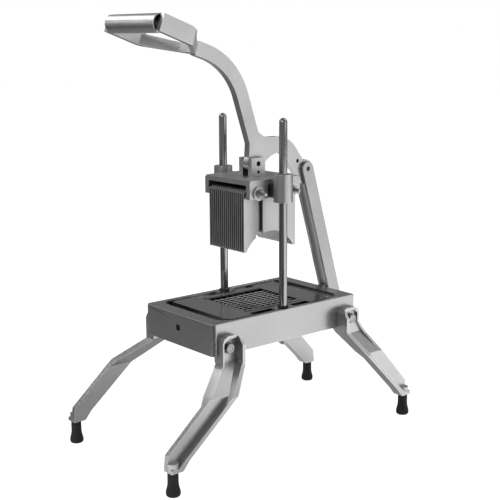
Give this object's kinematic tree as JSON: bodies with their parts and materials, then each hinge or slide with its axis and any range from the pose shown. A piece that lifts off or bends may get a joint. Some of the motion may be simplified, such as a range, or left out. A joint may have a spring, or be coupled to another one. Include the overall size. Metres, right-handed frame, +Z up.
{
  "type": "onion cutter",
  "caption": "Free-standing lever-operated onion cutter: a finger block slides down guide rods and pushes the onion through a blade grid set in a base on splayed legs.",
  "frame": {"origin": "on the floor, midway between the four feet", "axes": "+Z up, -Y towards the grip at the front, +X to the right of someone facing the back"},
  "size_m": [0.267, 0.479, 0.6241],
  "materials": {
    "cast_aluminium": "satin cast",
    "finger_aluminium": "satin machined",
    "polished_aluminium": "polished",
    "black_rubber": "matt",
    "rod_steel": "ground and plated",
    "blade_steel": "ground",
    "fastener_steel": "plain",
    "bronze": "plain"
  },
  "bodies": {
    "base": {"base_frame": "cast_aluminium", "leg_front_right": "cast_aluminium", "leg_front_left": "cast_aluminium", "leg_rear_right": "cast_aluminium", "leg_rear_left": "cast_aluminium", "foot_front_right": "black_rubber", "foot_front_left": "black_rubber", "foot_rear_right": "black_rubber", "foot_rear_left": "black_rubber", "foot_studs": "fastener_steel", "leg_bolts": "fastener_steel", "leg_washers": "fastener_steel", "leg_nuts": "fastener_steel", "guide_rod_right": "rod_steel", "guide_rod_left": "rod_steel", "rod_bumpers": "black_rubber", "rod_washers": "fastener_steel", "rod_nuts": "fastener_steel", "blade_plate": "cast_aluminium", "upper_blades": "blade_steel", "lower_blades": "blade_steel", "blade_keeper": "cast_aluminium", "keeper_screws": "fastener_steel", "plate_dowels": "fastener_steel", "lower_link_pin": "fastener_steel"},
    "head": {"head_casting": "cast_aluminium", "bushing_right": "bronze", "bushing_left": "bronze", "finger_plates": "finger_aluminium", "outer_finger_plates": "finger_aluminium", "finger_spacers": "fastener_steel", "tie_rod_front": "fastener_steel", "tie_rod_rear": "fastener_steel", "tie_rod_nuts": "fastener_steel", "lever_pin": "fastener_steel"},
    "lever": {"lever_arm": "cast_aluminium", "grip_bar": "polished_aluminium"},
    "links": {"link_bar_right": "cast_aluminium", "link_bar_left": "cast_aluminium", "upper_link_pin": "fastener_steel"}
  },
  "joints": [
    {"name": "head_slide", "type": "slide", "parent": "base", "child": "head", "axis": [0, 0, -1], "range_m": [0, 0.088]},
    {"name": "lever_swing", "type": "hinge", "parent": "head", "child": "lever", "pos_m": [0, 0.012, 0.411], "axis": [1, 0, 0], "range_deg": [0, 47.2]},
    {"name": "link_swing", "type": "hinge", "parent": "base", "child": "links", "pos_m": [0, 0.174, 0.191], "axis": [1, 0, 0], "range_deg": [0, 4.6]}
  ],
  "couplings": [
    {"joint": "lever_swing", "follows": "head_slide", "rad_per_m": 9.3133},
    {"joint": "link_swing", "follows": "head_slide", "rad_per_m": 0.87735}
  ]
}
